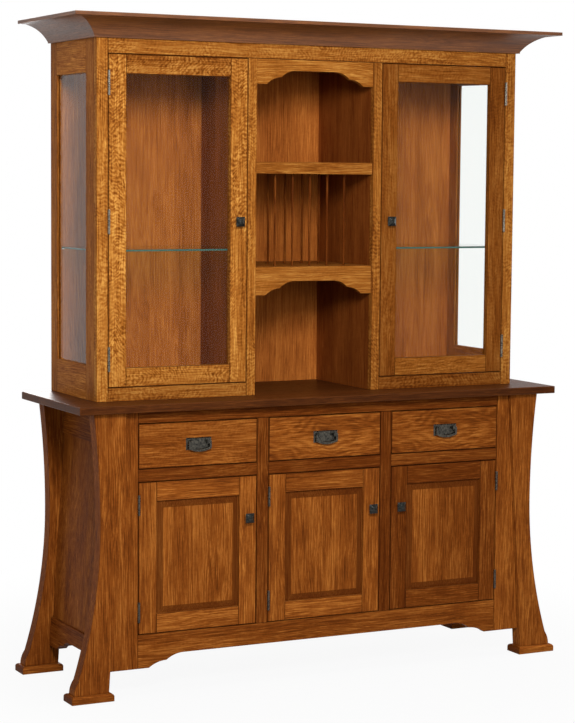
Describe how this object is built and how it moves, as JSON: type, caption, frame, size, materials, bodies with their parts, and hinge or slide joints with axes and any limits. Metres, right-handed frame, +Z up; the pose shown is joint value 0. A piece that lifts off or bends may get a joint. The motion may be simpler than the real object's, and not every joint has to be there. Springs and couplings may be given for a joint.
{
  "type": "hutch",
  "caption": "Oak display hutch: glazed doors and a plate rack over a buffet base with drawers, panelled doors and flared legs.",
  "frame": {"origin": "on the floor under the middle of the object's box", "axes": "+X to the right seen from the front, +Y from the front to the back, +Z up"},
  "size_m": [1.76, 0.525, 2.099],
  "materials": {
    "oak_case": "satin lacquer over a warm brown stain",
    "oak_top": "satin lacquer over a darker brown stain",
    "drawer_maple": "clear lacquer",
    "dark_bronze": "rubbed dark bronze",
    "clear_glass": "polished",
    "clip_steel": "satin nickel"
  },
  "bodies": {
    "case": {"buffet_top": "oak_top", "leg_front_left": "oak_case", "leg_front_right": "oak_case", "leg_rear_left": "oak_case", "leg_rear_right": "oak_case", "foot_pads": "oak_case", "base_face_frame": "oak_case", "base_apron": "oak_case", "base_side_left": "oak_case", "base_side_right": "oak_case", "base_back": "oak_case", "base_carcase": "oak_case", "base_case_hinges": "dark_bronze", "hutch_side_left": "oak_case", "hutch_side_right": "oak_case", "hutch_side_glass": "clear_glass", "hutch_face_frame": "oak_case", "hutch_back": "oak_case", "hutch_roof": "oak_case", "hutch_partitions": "oak_case", "hutch_bay_floors": "oak_case", "centre_shelves": "oak_case", "centre_valances": "oak_case", "plate_rack_dowels": "oak_case", "glass_shelves": "clear_glass", "shelf_clips": "clip_steel", "hutch_case_hinges": "dark_bronze", "cornice": "oak_top"},
    "left_drawer": {"drawer_front_left": "oak_case", "drawer_box_left": "drawer_maple", "pull_plate_left": "dark_bronze"},
    "left_bail": {"bail_left": "dark_bronze"},
    "left_base_door": {"base_door_left_frame": "oak_case", "base_door_left_panel": "oak_case", "base_door_left_knob": "dark_bronze", "base_door_left_hinges": "dark_bronze"},
    "centre_drawer": {"drawer_front_centre": "oak_case", "drawer_box_centre": "drawer_maple", "pull_plate_centre": "dark_bronze"},
    "centre_bail": {"bail_centre": "dark_bronze"},
    "centre_base_door": {"base_door_centre_frame": "oak_case", "base_door_centre_panel": "oak_case", "base_door_centre_knob": "dark_bronze", "base_door_centre_hinges": "dark_bronze"},
    "right_drawer": {"drawer_front_right": "oak_case", "drawer_box_right": "drawer_maple", "pull_plate_right": "dark_bronze"},
    "right_bail": {"bail_right": "dark_bronze"},
    "right_base_door": {"base_door_right_frame": "oak_case", "base_door_right_panel": "oak_case", "base_door_right_knob": "dark_bronze", "base_door_right_hinges": "dark_bronze"},
    "left_hutch_door": {"hutch_door_left_frame": "oak_case", "hutch_door_left_glass": "clear_glass", "hutch_door_left_knob": "dark_bronze", "hutch_door_left_hinges": "dark_bronze"},
    "right_hutch_door": {"hutch_door_right_frame": "oak_case", "hutch_door_right_glass": "clear_glass", "hutch_door_right_knob": "dark_bronze", "hutch_door_right_hinges": "dark_bronze"}
  },
  "joints": [
    {"name": "left_drawer_slide", "type": "slide", "parent": "case", "child": "left_drawer", "axis": [0, -1, 0], "range_m": [0, 0.32]},
    {"name": "left_bail_hinge", "type": "hinge", "parent": "left_drawer", "child": "left_bail", "pos_m": [-0.448, -0.2355, 0.78775], "axis": [-1, 0, 0], "range_deg": [0, 85]},
    {"name": "left_base_door_hinge", "type": "hinge", "parent": "case", "child": "left_base_door", "pos_m": [-0.65075, -0.229, 0.432], "axis": [0, 0, -1], "range_deg": [0, 110]},
    {"name": "centre_drawer_slide", "type": "slide", "parent": "case", "child": "centre_drawer", "axis": [0, -1, 0], "range_m": [0, 0.32]},
    {"name": "centre_bail_hinge", "type": "hinge", "parent": "centre_drawer", "child": "centre_bail", "pos_m": [0, -0.2355, 0.78775], "axis": [-1, 0, 0], "range_deg": [0, 85]},
    {"name": "centre_base_door_hinge", "type": "hinge", "parent": "case", "child": "centre_base_door", "pos_m": [-0.20275, -0.229, 0.432], "axis": [0, 0, -1], "range_deg": [0, 110]},
    {"name": "right_drawer_slide", "type": "slide", "parent": "case", "child": "right_drawer", "axis": [0, -1, 0], "range_m": [0, 0.32]},
    {"name": "right_bail_hinge", "type": "hinge", "parent": "right_drawer", "child": "right_bail", "pos_m": [0.448, -0.2355, 0.78775], "axis": [-1, 0, 0], "range_deg": [0, 85]},
    {"name": "right_base_door_hinge", "type": "hinge", "parent": "case", "child": "right_base_door", "pos_m": [0.65075, -0.229, 0.432], "axis": [0, 0, 1], "range_deg": [0, 110]},
    {"name": "left_hutch_door_hinge", "type": "hinge", "parent": "case", "child": "left_hutch_door", "pos_m": [-0.71675, -0.144, 1.4705], "axis": [0, 0, -1], "range_deg": [0, 110]},
    {"name": "right_hutch_door_hinge", "type": "hinge", "parent": "case", "child": "right_hutch_door", "pos_m": [0.71675, -0.144, 1.4705], "axis": [0, 0, 1], "range_deg": [0, 110]}
  ]
}
